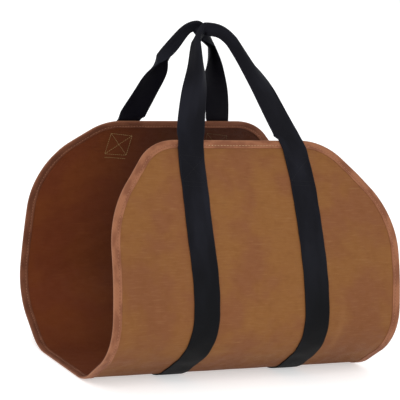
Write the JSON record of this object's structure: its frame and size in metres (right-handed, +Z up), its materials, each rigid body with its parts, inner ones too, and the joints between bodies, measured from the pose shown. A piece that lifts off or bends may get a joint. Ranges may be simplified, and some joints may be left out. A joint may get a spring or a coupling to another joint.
{
  "type": "canvas log carrier",
  "caption": "Open-ended canvas carrier for firewood: a bound sheet bent into a trough, with webbing handles that run right under it.",
  "frame": {"origin": "middle of the underside, on the surface that the carrier stands on", "axes": "+X along the trough, from one open end to the other; +Y from the front panel to the back one; +Z up to the grips"},
  "size_m": [0.4834, 0.4022, 0.5385],
  "materials": {
    "canvas": "waxed tan canvas, matt with soft rubbed patches",
    "binding": "reddish brown woven tape, matt",
    "webbing": "black ribbed webbing, matt"
  },
  "bodies": {
    "root": {"canvas_body": "canvas", "edge_binding": "binding", "handle_strap_front": "webbing", "handle_strap_back": "webbing"}
  },
  "joints": []
}
